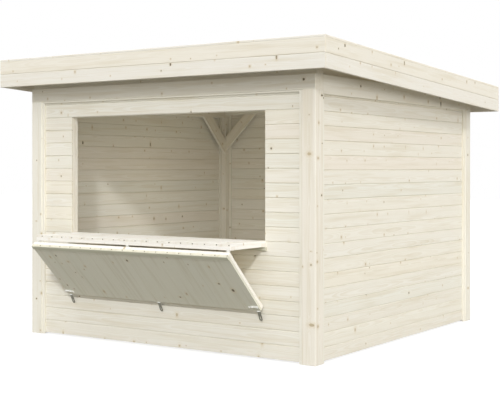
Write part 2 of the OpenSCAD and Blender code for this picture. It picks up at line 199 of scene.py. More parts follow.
class Pile:
    """Collects sticks, boards and iron pieces into one mesh, and keeps the grain of each."""

    def __init__(self, name):
        self.name = name
        self.random = random.Random(name)
        self.points = []
        self.faces = []
        self.grain = []
        self.look = []

    def prism(self, outline, origin, axes, length, ease=1.0 * MM, heart=False,
              grain=None, bow=0.0, tone=None, hollow=()):
        """Draws an outline in the first two axes out along the third, with eased ends.

        heart puts the pith inside the stick. grain names the direction of the fibres where
        that isn't the third axis, with the direction that faces away from the pith. bow is
        how far the stick waves, and tone is its shade, by chance if it isn't given. hollow
        numbers the outline's points that line a groove, which the wood paints with shade.
        """
        side, face, along = axes
        if np.dot(np.cross(side, face), along) < 0:
            hollow = [len(outline) - 1 - corner for corner in hollow]
            outline = outline[::-1]
        flat = np.array(outline, float)
        middle = (flat.max(axis=0) + flat.min(axis=0)) / 2
        half = (flat.max(axis=0) - flat.min(axis=0)) / 2
        steps = [(0.0, 1.0), (ease, 0.0)] if ease else [(0.0, 0.0)]
        if bow:
            inner = max(1, int(length / BOW_STEP))
            steps += [(length * (i + 1) / (inner + 1), 0.0) for i in range(inner)]
        steps += [(length - ease, 0.0), (length, 1.0)] if ease else [(length, 0.0)]
        phase = self.random.uniform(0, 6.28)  # a whole turn
        first = len(self.points)
        points = []
        for place, shrink in steps:
            # A very thin outline shrinks by less, so that its ends don't turn inside out
            scale = 1 - shrink * ease / np.maximum(half, ease * 1.5)
            ring = middle + (flat - middle) * scale
            lift = bow * math.sin(phase + place * BOW_WAVES) * face
            points += [origin + a * side + b * face + place * along + lift for a, b in ring]
        self.points += points
        self.join_rings(first, len(flat), len(steps))
        fibres, outward = grain or (along, face)
        ends = [-1.0 if corner in hollow and not shrink else shrink
                for _, shrink in steps for corner in range(len(flat))]
        self.remember(points, unit(fibres), outward, heart, ends, tone)

    def join_rings(self, first, count, rings):
        """Side faces between rings of points, and a cap on each end."""
        for ring in range(rings - 1):
            start = first + ring * count
            for i in range(count):
                j = (i + 1) % count
                self.faces.append((start + i, start + j, start + count + j, start + count + i))
        last = first + (rings - 1) * count
        self.faces.append(tuple(range(first + count - 1, first - 1, -1)))
        self.faces.append(tuple(range(last, last + count)))

    def remember(self, points, fibres, outward, heart, ends, tone):
        """Stores where each point lies in the log that the stick was cut from.

        ends is 1 on an end face, -1 inside a groove, where painted shade goes, and 0 elsewhere.
        """
        outward = unit(outward - np.dot(outward, fibres) * fibres)
        across = np.cross(outward, fibres)
        cloud = np.array(points)
        centre = (cloud.max(axis=0) + cloud.min(axis=0)) / 2
        deep = np.abs((cloud - centre) @ outward).max()
        if heart:
            pith = [self.random.uniform(-PITH_INSIDE, PITH_INSIDE) * MM for _ in range(2)]
        else:
            pith = [self.random.uniform(-PITH_ASIDE, PITH_ASIDE) * MM,
                    -deep - self.random.uniform(*PITH_BEHIND) * MM]
        offset = self.random.uniform(0, LOG_LENGTH)
        shade = self.random.random() if tone is None else tone
        tint = self.random.random()
        for point, end in zip(cloud, ends):
            local = point - centre
            self.grain.append((local @ fibres + offset, local @ across - pith[0],
                               local @ outward - pith[1]))
            self.look.append((shade, end, tint))

    def block(self, low, high, along, face, **options):
        """A straight stick that fills a box. along and face are axis numbers."""
        side = 3 - along - face
        size = high - low
        axes = [np.eye(3)[side], np.eye(3)[face], np.eye(3)[along]]
        ease = options.pop("edge", 1.2 * MM)
        self.prism(rectangle(size[side], size[face], ease), low, axes, size[along], **options)

    def build(self, material, slot, *nodes, smooth=None):
        """Makes the object. It stands for the CAD nodes that are named."""
        mesh = bpy.data.meshes.new(self.name)
        mesh.from_pydata([tuple(point) for point in self.points], [], self.faces)
        for label, values in (("grain", self.grain), ("look", self.look)):
            layer = mesh.attributes.new(label, "FLOAT_VECTOR", "POINT")
            layer.data.foreach_set("vector", np.array(values, np.float32).ravel())
        if smooth:
            mesh.polygons.foreach_set("use_smooth", [True] * len(mesh.polygons))
            mesh.set_sharp_from_angle(angle=math.radians(smooth))
        mesh.materials.append(material)
        mesh.update()
        piece = bpy.data.objects.new(self.name, mesh)
        bpy.context.collection.objects.link(piece)
        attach(piece, "root")
        if nodes:
            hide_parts(*nodes)


# ---- Boards with tongues and grooves ----

# Which points of a board's outline line its groove
GROOVE_POINTS = range(4, 8)


def board_outline(width, thick, vee, slot, first, last, groove):
    """A board's cross-section: chamfered edges, a fine slot at their bottom, and a hollow groove.

    first and last say whether the board has a neighbour before it and after it. A joint is
    chamfered by vee, and its slot is as wide as two of slot. groove is its depth and height.
    """
    sink = 2.2 * MM
    ease = 0.8 * MM
    deep, high = groove
    mid = thick / 2
    if last:
        right = [(width - vee, 0), (width - slot, vee), (width - slot, vee + sink),
                 (width, vee + sink), (width, mid - high / 2), (width - deep, mid - high / 2),
                 (width - deep, mid + high / 2), (width, mid + high / 2),
                 (width, thick - vee - sink), (width - slot, thick - vee - sink),
                 (width - slot, thick - vee), (width - vee, thick)]
    else:
        right = [(width - ease, 0), (width, ease), (width, thick - ease), (width - ease, thick)]
    if first:
        left = [(vee, thick), (slot, thick - vee), (slot, thick - vee - sink),
                (0, thick - vee - sink), (0, vee + sink), (slot, vee + sink), (slot, vee),
                (vee, 0)]
    else:
        left = [(ease, thick), (0, thick - ease), (0, ease), (ease, 0)]
    return right + left


def lay_boards(pile, origin, along, across, out, length, width, thick, vee=4.8 * MM,
               slot=0.8 * MM, start=0.0, groove=WALL_GROOVE, joins=(False, False)):
    """Covers a length by a width with boards side by side. start cuts the first board.

    vee and slot shape the joints, as in board_outline. joins says whether another panel goes
    on before the first board and after the last.
    """
    place = 0.0
    wide = BOARD_PITCH - start
    while place < width - SLIVER:
        wide = min(wide, width - place)
        first = place > 0 or joins[0]
        last = place + wide < width - SLIVER or joins[1]
        outline = board_outline(wide, thick, min(vee, wide / 3), slot, first, last, groove)
        pile.prism(outline, origin + across * place, (across, out, along), length,
                   ease=0.6 * MM, bow=BOARD_BOW, hollow=GROOVE_POINTS if last else ())
        place += wide
        wide = BOARD_PITCH


def cut_from(left):
    """How much of the first board is cut off when a joint falls on the stall's middle."""
    return BOARD_PITCH - -left % BOARD_PITCH


# ---- Material nodes ----

def linear(red, green, blue):
    """A colour as 0-255 display numbers, for a colour socket."""
    levels = [channel / 255 for channel in (red, green, blue)]
    return [c / 12.92 if c <= 0.04045 else ((c + 0.055) / 1.055) ** 2.4 for c in levels] + [1.0]


class Shade:
    """A material, and short calls that add nodes to it."""

    def __init__(self, name):
        self.material = bpy.data.materials.new(name)
        self.material.use_nodes = True
        self.tree = self.material.node_tree
        self.shader = self.tree.nodes["Principled BSDF"]

    def node(self, kind, inputs=(), **settings):
        """Adds a node, sets it, and feeds its inputs by name or number."""
        node = self.tree.nodes.new("ShaderNode" + kind)
        for key, value in settings.items():
            setattr(node, key, value)
        for key, value in dict(inputs).items():
            self.feed(node.inputs[key], value)
        return node

    def feed(self, socket, value):
        """Links a socket, or sets its own value."""
        if isinstance(value, bpy.types.NodeSocket):
            self.tree.links.new(value, socket)
        else:
            socket.default_value = value

    def math(self, operation, *values, clamp=False):
        node = self.node("Math", operation=operation, use_clamp=clamp)
        for socket, value in zip(node.inputs, values):
            self.feed(socket, value)
        return node.outputs[0]

    def times(self, first, second):
        return self.math("MULTIPLY", first, second)

    def plus(self, first, second):
        return self.math("ADD", first, second)

    def length(self, first, second):
        """The length of the long side over two square ones."""
        return self.math("SQRT", self.plus(self.times(first, first),
                                           self.times(second, second)))

    def vector(self, x, y, z=0.0):
        return self.node("CombineXYZ", {0: x, 1: y, 2: z}).outputs[0]

    def split(self, vector):
        return self.node("SeparateXYZ", {0: vector}).outputs

    def attribute(self, name):
        return self.node("Attribute", attribute_name=name).outputs["Vector"]

    def noise(self, vector, scale=1.0, detail=2.0, roughness=0.5):
        return self.node("TexNoise", {"Vector": vector, "Scale": scale, "Detail": detail,
                                      "Roughness": roughness}).outputs[0]

    def step(self, value, start, end, to_low=0.0, to_high=1.0):
        """A smooth step of a value from start to end."""
        return self.node("MapRange", {0: value, 1: start, 2: end, 3: to_low, 4: to_high},
                         interpolation_type="SMOOTHSTEP").outputs[0]

    def mix(self, factor, first, second):
        node = self.node("Mix", data_type="RGBA")
        for index, value in ((0, factor), (6, first), (7, second)):
            self.feed(node.inputs[index], value)
        return node.outputs[2]

    def bump(self, height, strength, distance, normal=None):
        inputs = {"Height": height, "Strength": strength, "Distance": distance}
        if normal:
            inputs["Normal"] = normal
        return self.node("Bump", inputs).outputs[0]


# ---- Wood ----

# Knots lie about this far apart along the log, and this many radians apart round it
KNOT_STEP = 0.26
KNOT_ARC = 1.15
KNOT_SMALLEST = 2.6 * MM
# Growth rings: how far they wander, how far apart they lie at least, what their spacing varies
# by, and how much a knot pushes them aside for its size
RING_WANDER = 34 * MM
RING_SPACING = 3.2 * MM
RING_VARIES = 1.6 * MM
RING_SWELL = 1.7

# Tints that single boards lean to
YELLOW_TINT = linear(241, 234, 217)
PINK_TINT = linear(240, 230, 217)
GREY_TINT = linear(232, 232, 222)
# Fibres, sawn ends, and painted shade for the insides of grooves
DARK_FIBRE = linear(208, 197, 170)
PALE_FIBRE = linear(246, 242, 229)
END_GRAIN = linear(222, 206, 176)
GROOVE_PAINTED_SHADE = linear(128, 119, 96)
# Knots: the ring round one, sound and dead wood, and the fine rings inside
KNOT_HALO = linear(204, 184, 140)
KNOT_SOUND = linear(178, 156, 112)
KNOT_DEAD = linear(82, 72, 50)
KNOT_RINGS = linear(158, 132, 94)


def knot_field(shade, run, radius, turn, often, largest, stretch):
    """Knots that grow outwards from the pith: (distance to one, its size, its darkness).

    often is the share of places that hold a knot, and stretch makes them longer.
    """
    place = shade.vector(shade.math("DIVIDE", run, KNOT_STEP),
                         shade.math("DIVIDE", turn, KNOT_ARC))
    cell = shade.node("TexVoronoi", {"Vector": place, "Scale": 1.0, "Randomness": 0.9},
                      voronoi_dimensions="2D")
    here = shade.split(place)
    middle = shade.split(cell.outputs["Position"])
    chance = shade.split(cell.outputs["Color"])
    off_run = shade.times(shade.math("SUBTRACT", here[0], middle[0]), KNOT_STEP)
    off_turn = shade.times(shade.math("SUBTRACT", here[1], middle[1]), KNOT_ARC)
    off_turn = shade.times(off_turn, radius)
    off_run = shade.math("DIVIDE", off_run, stretch)
    wobble = shade.noise(shade.vector(shade.times(off_run, 90.0), shade.times(off_turn, 90.0),
                                      chance[0]))
    narrow = shade.step(shade.math("FRACT", shade.times(chance[2], 9.0)), 0.5, 1.0, 1.0, 0.45)
    off_turn = shade.times(off_turn, narrow)
    away = shade.length(off_run, off_turn)
    away = shade.times(away, shade.plus(0.6, shade.times(wobble, 0.8)))
    there = shade.math("GREATER_THAN", chance[1], 1 - often)
    size = shade.math("MULTIPLY_ADD", shade.math("POWER", chance[0], 2.0),
                      largest - KNOT_SMALLEST, KNOT_SMALLEST)
    return away, shade.times(size, there), chance[2]


def grain_noise(shade, grain, along, aside, detail, roughness):
    """Noise with so many waves to a metre along the fibres, and across them."""
    run, across, outward = grain
    place = shade.vector(shade.times(run, along), shade.times(across, aside),
                         shade.times(outward, aside))
    return shade.noise(place, 1.0, detail, roughness)


def growth_rings(shade, radius, wander, swell, tone, hue):
    """The dark line of each year's growth, pushed aside by knots and fainter in some years."""
    growth = shade.math("MULTIPLY_ADD", wander, RING_WANDER, radius)
    growth = shade.plus(growth, shade.times(swell, RING_SWELL))
    spacing = shade.math("MULTIPLY_ADD", tone, RING_VARIES, RING_SPACING)
    ring = shade.math("FRACT", shade.math("DIVIDE", growth, spacing))
    band = shade.times(shade.step(ring, 0.15, 0.86), shade.step(ring, 0.90, 1.0, 1.0, 0.0))
    years = shade.noise(shade.vector(shade.times(growth, 95.0), tone, hue), 1.0, 2.0)
    return shade.times(band, shade.math("MULTIPLY_ADD", years, 1.3, -0.1, clamp=True))


def board_tint(shade, pale, tone, hue, tint):
    """The wood between the rings: pale, and leaning a little to a tint of its own."""
    body = shade.mix(shade.times(shade.step(hue, 0.0, 0.55, 1.0, 0.0), tint), pale, YELLOW_TINT)
    body = shade.mix(shade.times(shade.step(hue, 0.6, 1.0), tint), body, PINK_TINT)
    return shade.mix(shade.times(shade.step(tone, 0.5, 1.0), tint), body, GREY_TINT)


def with_knots(shade, colour, away, size, near, knot, gloom):
    """Lays the knots over the wood's colour: a halo, then the knot with its own rings."""
    halo = shade.times(shade.step(near, 0.35, 1.3, 0.30, 0.0),
                       shade.math("GREATER_THAN", size, 1 * MM))
    colour = shade.mix(halo, colour, KNOT_HALO)
    heart = shade.mix(gloom, KNOT_SOUND, KNOT_DEAD)
    rings = shade.step(shade.math("SINE", shade.times(away, 5200.0)), -1.0, 1.0, 0.0, 0.22)
    heart = shade.mix(rings, heart, KNOT_RINGS)
    strength = shade.math("MULTIPLY_ADD", gloom, 0.35, 0.55)
    return shade.mix(shade.times(knot, strength), colour, heart)


def wood(name, pale, late, figure=0.5, knots=0.5, largest=9 * MM, tint=0.5, stretch=1.0,
         gloomy=0.6):
    """Sawn spruce: growth rings, fibres, knots that push the rings aside, and a tint a board.

    figure is how strongly the rings show, and tint how far single boards lean to a tint.
    Knots whose chance is over gloomy are dark.
    """
    shade = Shade(name)
    grain = shade.split(shade.attribute("grain"))
    run, across, outward = grain
    tone, end, hue = shade.split(shade.attribute("look"))
    wander = grain_noise(shade, grain, along=1.1, aside=3.0, detail=3.0, roughness=0.45)
    wander = shade.math("SUBTRACT", wander, 0.5)
    fibre = grain_noise(shade, grain, along=7.0, aside=420.0, detail=3.0, roughness=0.65)
    broad = grain_noise(shade, grain, along=1.4, aside=26.0, detail=2.0, roughness=0.5)
    radius = shade.length(across, outward)
    turn = shade.math("ARCTAN2", across, outward)

    away, size, dark = knot_field(shade, run, radius, turn, knots, largest, stretch)
    near = shade.math("DIVIDE", away, shade.math("MULTIPLY_ADD", size, 2.2, 3 * MM))
    swell = shade.math("DIVIDE", size, shade.plus(1.0, shade.math("POWER", near, 3.0)))
    knot = shade.step(shade.math("SUBTRACT", away, size), -0.9 * MM, 0.9 * MM, 1.0, 0.0)
    gloom = shade.step(dark, gloomy, gloomy + 0.25)

    band = growth_rings(shade, radius, wander, swell, tone, hue)
    colour = shade.mix(shade.times(band, figure), board_tint(shade, pale, tone, hue, tint), late)
    colour = shade.mix(shade.step(broad, 0.46, 0.74, 0.0, 0.34), colour, late)
    colour = shade.mix(shade.step(fibre, 0.52, 0.80, 0.0, 0.26), colour, DARK_FIBRE)
    colour = shade.mix(shade.step(fibre, 0.20, 0.42, 0.22, 0.0), colour, PALE_FIBRE)
    colour = with_knots(shade, colour, away, size, near, knot, gloom)
    colour = shade.mix(shade.math("MULTIPLY", end, 0.15, clamp=True), colour, END_GRAIN)
    # Painted shade: the insides of grooves are darkened, standing in for the shadow in them
    colour = shade.mix(shade.step(end, -0.8, -0.3, 0.85, 0.0), colour, GROOVE_PAINTED_SHADE)
    shade.feed(shade.shader.inputs["Base Color"], colour)

    roughness = shade.math("MULTIPLY_ADD", fibre, 0.16, 0.54)
    shade.feed(shade.shader.inputs["Roughness"], roughness)
    shade.shader.inputs["Specular IOR Level"].default_value = 0.32
    relief = shade.plus(shade.times(fibre, 0.7), shade.times(band, -0.35))
    relief = shade.plus(relief, shade.times(knot, 0.5))
    shade.feed(shade.shader.inputs["Normal"], shade.bump(relief, 0.35, 0.5 * MM))
    return shade.material


# ---- Steel and felt ----

def galvanised(name, bright, dull):
    """Zinc-coated steel with its faint crystals, rubbed brighter here and there."""
    shade = Shade(name)
    place = shade.node("TexCoord").outputs["Object"]
    crystals = shade.node("TexVoronoi", {"Vector": place, "Scale": 260.0}).outputs["Color"]
    grey = shade.split(crystals)[0]
    cloud = shade.noise(place, 38.0, 4.0, 0.6)
    colour = shade.mix(shade.times(grey, 0.35), bright, dull)
    colour = shade.mix(shade.step(cloud, 0.5, 0.75, 0.0, 0.5), colour, dull)
    shade.feed(shade.shader.inputs["Base Color"], colour)
    shade.shader.inputs["Metallic"].default_value = 0.85
    shade.feed(shade.shader.inputs["Roughness"], shade.step(cloud, 0.3, 0.7, 0.3, 0.5))
    shade.feed(shade.shader.inputs["Normal"], shade.bump(cloud, 0.25, 0.3 * MM))
    return shade.material


def felt(name):
    """Mineral felt: fine slate granules of mixed greys, with worn patches of bitumen."""
    shade = Shade(name)
    place = shade.node("TexCoord").outputs["Object"]
    cell = shade.node("TexVoronoi", {"Vector": place, "Scale": 520.0})
    chance = shade.split(cell.outputs["Color"])
    colour = shade.mix(chance[0], linear(62, 66, 66), linear(118, 122, 118))
    colour = shade.mix(shade.step(chance[1], 0.82, 0.9), colour, linear(160, 162, 154))
    wear = shade.noise(place, 3.0, 5.0, 0.6)
    colour = shade.mix(shade.step(wear, 0.5, 0.8, 0.0, 0.5), colour, linear(52, 54, 54))
    shade.feed(shade.shader.inputs["Base Color"], colour)
    shade.shader.inputs["Roughness"].default_value = 0.92
    waves = shade.noise(place, 2.2, 3.0, 0.5)
    normal = shade.bump(waves, 0.5, 3 * MM)
    normal = shade.bump(cell.outputs["Distance"], 0.5, 1 * MM, normal)
    shade.feed(shade.shader.inputs["Normal"], normal)
    return shade.material


PALE = linear(239, 236, 226)
LATE = linear(212, 201, 173)
WALL_WOOD = wood("wall_spruce", PALE, LATE, figure=0.42, knots=0.4)
FRAME_WOOD = wood("frame_spruce", linear(238, 235, 225), LATE, figure=0.34, knots=0.6,
                  largest=11 * MM, tint=0.3)
STRIP_WOOD = wood("strip_spruce", linear(239, 236, 225), LATE, figure=0.25, knots=0.2,
                  largest=6 * MM, tint=0.2)
# The counter's and the flap frame's spruce is paler and whiter than the walls': painted light for
# their up-facing faces, such as the counter's top and the flap's top edge
LIT_PANEL_WOOD = wood("panel_spruce_painted_light", linear(250, 249, 246), LATE, figure=0.32, knots=0.5,
                  largest=9 * MM, tint=0.2)
# The flap's boards are a darker, greyer copy of the panel spruce: painted shade for the flap's
# down-facing face
SHADED_FLAP_WOOD = wood("flap_spruce_painted_shade", linear(221, 220, 205), linear(194, 188, 162), figure=0.12,
                 knots=0.5, largest=9 * MM, tint=0.1, stretch=1.7, gloomy=0.2)
# Darker, greyer spruce. On the flap's top strip it is painted shade, to go with the shaded flap;
# the counter's ledger is simply darker wood
DARK_SHADED_WOOD = wood("dark_shaded_spruce", linear(204, 204, 186), linear(186, 180, 154), figure=0.2,
                 knots=0.4, largest=7 * MM, tint=0.1)
ROOF_WOOD = wood("roof_spruce", linear(228, 219, 196), LATE, figure=0.5, knots=0.6,
                 largest=10 * MM)
FASCIA_WOOD = wood("fascia_spruce", linear(236, 233, 225), LATE, figure=0.3, knots=0.35,
                   largest=8 * MM, tint=0.4)
STEEL = galvanised("galvanised", linear(248, 248, 244), linear(214, 214, 208))
# Dark steel for the hasps' hanging plates: painted shade, for the shade they hang in under the
# flap
SHADED_STEEL = galvanised("painted_shade_steel", linear(128, 127, 116), linear(92, 91, 80))
FELT = felt("mineral_felt")


# ---- Posts, beams and sticks ----

def post_outline(width, chamfer):
    """A square with its corners cut off, and each cut eased."""
    ease = 1.0 * MM
    far = width - chamfer
    corners = [(chamfer, 0), (far, 0), (width, chamfer), (width, far), (far, width),
               (chamfer, width), (0, far), (0, chamfer)]
    points = []
    for i, corner in enumerate(corners):
        here = np.array(corner)
        before = unit(np.array(corners[i - 1]) - here)
        after = unit(np.array(corners[(i + 1) % 8]) - here)
        points += [tuple(here + before * ease), tuple(here + after * ease)]
    return points


def posts():
    """The four corner posts."""
    for node in ("post_front_left", "post_front_right", "post_back_left", "post_back_right"):
        pile = Pile("timber_" + node)
        low, high = box(node)
        outward = unit(np.sign((low + high) * (X + Y)))
        pile.prism(post_outline(POST_WIDTH, POST_CHAMFER), low, (X, Y, Z), high[2] - low[2],
                   ease=1.5 * MM, heart=True, grain=(Z, outward), tone=0.3)
        pile.build(FRAME_WOOD, "frame_timber", node)


def beams():
    """The beams that have a level top. The back one and the front riser follow the roof."""
    for node in ("beam_front", "beam_left", "beam_right"):
        pile = Pile("timber_" + node)
        low, high = box(node)
        run = 0 if node == "beam_front" else 1
        fibres = (X, Y)[run]
        outward = {"beam_front": -Y, "beam_left": -X, "beam_right": X}[node]
        size = high - low
        axes = ((Y, Z, X), (X, Z, Y))[run]
        pile.prism(rectangle(size[1 - run], size[2], 3 * MM), low, axes, size[run],
                   ease=1.5 * MM, heart=True, grain=(fibres, unit(outward + Z)), tone=0.4)
        pile.build(FRAME_WOOD, "frame_timber", node)


def sheared_stick(node, outward, heart):
    """A timber along X whose top follows the roof."""
    low, high = box(node)
    depth = high[1] - low[1]
    fall = depth * SLOPE
    ease = 3 * MM
    tall = high[2] - low[2]
    outline = [(ease, 0), (depth - ease, 0), (depth, ease), (depth, tall - fall - ease),
               (depth - ease, tall - fall), (ease, tall), (0, tall - ease), (0, ease)]
    pile = Pile("timber_" + node)
    pile.prism(outline, low, (Y, Z, X), high[0] - low[0], ease=1.5 * MM, heart=heart,
               grain=(X, outward))
    pile.build(FRAME_WOOD, "frame_timber", node)


def off_floor(low):
    """The low corner of an upright behind the walls, raised to where the wall boards start."""
    return np.array([low[0], low[1], box("front_wall_lower")[0][2]])


def strips():
    """The upright strips at the ends of the walls, and the level ones under the beams."""
    for node in ("corner_strips_outside", "corner_strips_inside"):
        pile = Pile("sticks_" + node)
        for low, high in loose_boxes(node):
            if node == "corner_strips_inside":
                low = off_floor(low)
            # Their grain faces along Y, but along X at the front ends of the side walls
            face = 0 if ROOM_LOW[1] < (low + high)[1] / 2 < ROOM_Y else 1
            pile.block(low, high, 2, face, edge=1.5 * MM)
        pile.build(STRIP_WOOD, "strips", node)
    pile = Pile("sticks_top_strips")
    for low, high in loose_boxes("top_strips"):
        pile.block(low, high, 0, 1, edge=2 * MM)
    pile.build(STRIP_WOOD, "strips", "top_strips")


def gables():
    """The tapered boards over the side walls."""
    pile = Pile("boards_gable_wedges")
    for low, high in loose_boxes("gable_wedges"):
        length = high[1] - low[1]
        tall = high[2] - low[2]
        outline = [(0, 0), (length, 0), (length, tall - length * SLOPE), (0, tall)]
        outward = X * np.sign(low[0])
        pile.prism(outline, low, (Y, Z, X), high[0] - low[0], ease=0.8 * MM,
                   grain=(Y, outward))
    pile.build(ROOF_WOOD, "roof_timber", "gable_wedges")


def braces():
    """Knee braces, cut plumb against the post and level under the beam."""
    for node in ("braces_back", "braces_left", "braces_right"):
        pile = Pile("timber_" + node)
        for low, high in loose_boxes(node):
            size = high - low
            run = 0 if size[0] > size[1] else 1
            leg = size[run]
            middle = (low + high) / 2 - Y * ROOM_Y
            ahead = -np.sign(middle[run])
            side = (X, Y)[run] * ahead
            start = np.array(low)
            if ahead < 0:
                start[run] = high[run]
            cut = BRACE_WIDTH * math.sqrt(2)
            outline = [(0, 0), (leg, leg), (leg - cut, leg), (0, cut)]
            thick = (Y, X)[run]
            pile.prism(outline, start, (side, Z, thick), size[1 - run], ease=1.5 * MM,
                       grain=(side + Z, thick))
        pile.build(FRAME_WOOD, "braces", node)


# ---- Walls ----

# Whether a piece of the front wall goes on below it and above it
WALL_JOINS = {"front_wall_lower": (False, True), "front_wall_left": (True, True),
              "front_wall_right": (True, True), "front_wall_upper": (True, False)}


def walls():
    """Level boards on each wall, with their good faces outwards."""
    for node in ("front_wall_lower", "front_wall_left", "front_wall_right",
                 "front_wall_upper", "back_wall", "left_wall", "right_wall"):
        pile = Pile("boards_" + node)
        low, high = box(node)
        size = high - low
        run = 0 if size[0] > size[1] else 1
        thick = size[1 - run]
        outward = (Y, X)[run]
        along = (X, Y)[run]
        origin = np.array(low)
        if (low + high)[1 - run] < 0:
            outward = -outward
            origin[1 - run] = high[1 - run]
        cut = low[2] % BOARD_PITCH if run == 1 else 0.0
        lay_boards(pile, origin, along, Z, outward, size[run], size[2], thick, start=cut,
                   joins=WALL_JOINS.get(node, (False, False)))
        pile.build(WALL_WOOD, "wall_boards", node)


# ---- Serving hatch ----

def hatch_frame():
    """The studs beside the hatch, and the level timbers over and under it."""
    pile = Pile("timber_hatch_studs")
    for low, high in loose_boxes("hatch_studs"):
        pile.block(off_floor(low), high, 2, 0, edge=3 * MM)
    pile.build(FRAME_WOOD, "frame_timber", "hatch_studs")
    for node in ("hatch_head", "hatch_sill"):
        pile = Pile("timber_" + node)
        low, high = box(node)
        pile.block(low, high, 0, 1, edge=3 * MM)
        pile.build(FRAME_WOOD, "frame_timber", node)


# ---- Counter and flap ----

def counter():
    """Boards that run outwards, on level rails, battens and a ledger."""
    low, high = box("counter_boards")
    pile = Pile("boards_counter")
    lay_boards(pile, np.array(low), Y, X, Z, high[1] - low[1], high[0] - low[0], PANEL_BOARD,
               vee=1.2 * MM, slot=0.3 * MM, start=cut_from(low[0]), groove=PANEL_GROOVE)
    # The counter's boards take a paler wood as painted light on their top
    pile.build(LIT_PANEL_WOOD, "counter_timber", "counter_boards")
    for node, run, material in (("counter_rails", 0, LIT_PANEL_WOOD),
                                ("counter_cross_battens", 1, LIT_PANEL_WOOD),
                                ("counter_ledger", 0, DARK_SHADED_WOOD)):
        pile = Pile("sticks_" + node)
        for low, high in loose_boxes(node):
            pile.block(low, high, run, 2, edge=2 * MM)
        pile.build(material, "counter_timber", node)


# The flap's directions and corners, worked out from the box of its sloping rails
FLAP_DOWN = np.array([0.0, math.cos(FLAP_ANGLE), -math.sin(FLAP_ANGLE)])
FLAP_IN = np.array([0.0, math.sin(FLAP_ANGLE), math.cos(FLAP_ANGLE)])
RAILS_LOW, RAILS_HIGH = box("flap_rails")
FLAP_TOP = np.array([0.0, RAILS_LOW[1] + PANEL_BATTEN * math.sin(FLAP_ANGLE), RAILS_HIGH[2]])
FLAP_LENGTH = (RAILS_HIGH[1] - FLAP_TOP[1]) / math.cos(FLAP_ANGLE)
FLAP_LEFT, FLAP_RIGHT = RAILS_LOW[0], RAILS_HIGH[0]
FLAP_WIDTH = FLAP_RIGHT - FLAP_LEFT


def at_flap(x, down, inward):
    """A place by its distance along the stall, down the flap, and towards the wall."""
    return FLAP_TOP + X * x + FLAP_DOWN * down + FLAP_IN * inward


def flap():
    """Boards that run down the slope, with rails, battens and a top strip."""
    pile = Pile("boards_flap")
    lay_boards(pile, at_flap(FLAP_LEFT, 0, -PANEL_BATTEN), FLAP_DOWN, X, -FLAP_IN,
               FLAP_LENGTH, FLAP_WIDTH, PANEL_BOARD, vee=0.3 * MM, slot=0.1 * MM,
               start=cut_from(FLAP_LEFT), groove=PANEL_GROOVE)
    # The flap's boards take a wood darkened as painted shade
    pile.build(SHADED_FLAP_WOOD, "flap_timber", "flap_boards")

    pile = Pile("sticks_flap_rails")
    for down in (0, FLAP_LENGTH - FLAP_BATTEN):
        pile.prism(rectangle(FLAP_BATTEN, PANEL_BATTEN, 2 * MM),
                   at_flap(FLAP_LEFT, down, -PANEL_BATTEN), (FLAP_DOWN, FLAP_IN, X),
                   FLAP_WIDTH)
    pile.build(LIT_PANEL_WOOD, "flap_timber", "flap_rails")

    pile = Pile("sticks_flap_cross_battens")
    middle = (FLAP_LEFT + FLAP_RIGHT - FLAP_BATTEN) / 2
    for x in (FLAP_LEFT, middle, FLAP_RIGHT - FLAP_BATTEN):
        pile.prism(rectangle(FLAP_BATTEN, PANEL_BATTEN, 3.5 * MM),
                   at_flap(x, FLAP_BATTEN, -PANEL_BATTEN), (X, FLAP_IN, FLAP_DOWN),
                   FLAP_LENGTH - 2 * FLAP_BATTEN)
    pile.build(LIT_PANEL_WOOD, "flap_timber", "flap_cross_battens")

    pile = Pile("sticks_flap_top_strip")
    pile.prism(rectangle(TOP_STRIP_WIDTH, TOP_STRIP_THICK, 1.8 * MM),
               at_flap(FLAP_LEFT, 0, -PANEL - TOP_STRIP_THICK), (FLAP_DOWN, FLAP_IN, X),
               FLAP_WIDTH)
    # The top strip is painted with shade by a darker wood
    pile.build(DARK_SHADED_WOOD, "flap_timber", "flap_top_strip")


# ---- Roof ----

def rafters():
    """Timbers under the roof boards, with their ends cut plumb."""
    pile = Pile("timber_rafters")
    low_y, high_y = DECK_LOW[1], DECK_HIGH[1]
    for low, high in loose_boxes("rafters"):
        tall = high[2] - low[2] - (high_y - low_y) * SLOPE
        origin = np.array([low[0], low_y, high[2] - tall])
        pile.prism(rectangle(high[0] - low[0], tall, 2 * MM), origin, (X, Z, DOWN_ROOF),
                   high_y - low_y)
    pile.build(ROOF_WOOD, "roof_timber", "rafters")


def deck():
    """Roof boards that lie across the rafters, from the front down to the back."""
    pile = Pile("boards_roof_deck")
    origin = np.array([DECK_LOW[0], DECK_LOW[1], DECK_HIGH[2]])
    lay_boards(pile, origin, X, DOWN_ROOF, -Z, DECK_HIGH[0] - DECK_LOW[0],
               DECK_HIGH[1] - DECK_LOW[1], DECK_THICK)
    pile.build(ROOF_WOOD, "roof_timber", "roof_deck")


def roofing_felt():
    """Strips of felt across the roof, from the front: below counts those further down."""
    low, high = box("roof_felt")
    reach = (high[1] - low[1] + (FELT_STRIPS - 1) * FELT_LAP) / FELT_STRIPS
    pile = Pile("strips_roof_felt")
    for below in range(FELT_STRIPS - 1, -1, -1):
        y = high[1] - reach - below * (reach - FELT_LAP)
        lift = below * FELT_RISE + (FELT_THICK if below else 0.0)
        outline = [(0, FELT_CLEAR), (reach, lift + FELT_CLEAR),
                   (reach, lift + FELT_CLEAR + FELT_THICK), (0, FELT_CLEAR + FELT_THICK)]
        origin = np.array([low[0], y, roof_z(y)])
        pile.prism(outline, origin, (DOWN_ROOF, Z, X), high[0] - low[0], ease=0)
    pile.build(FELT, "roofing_felt", "roof_felt")


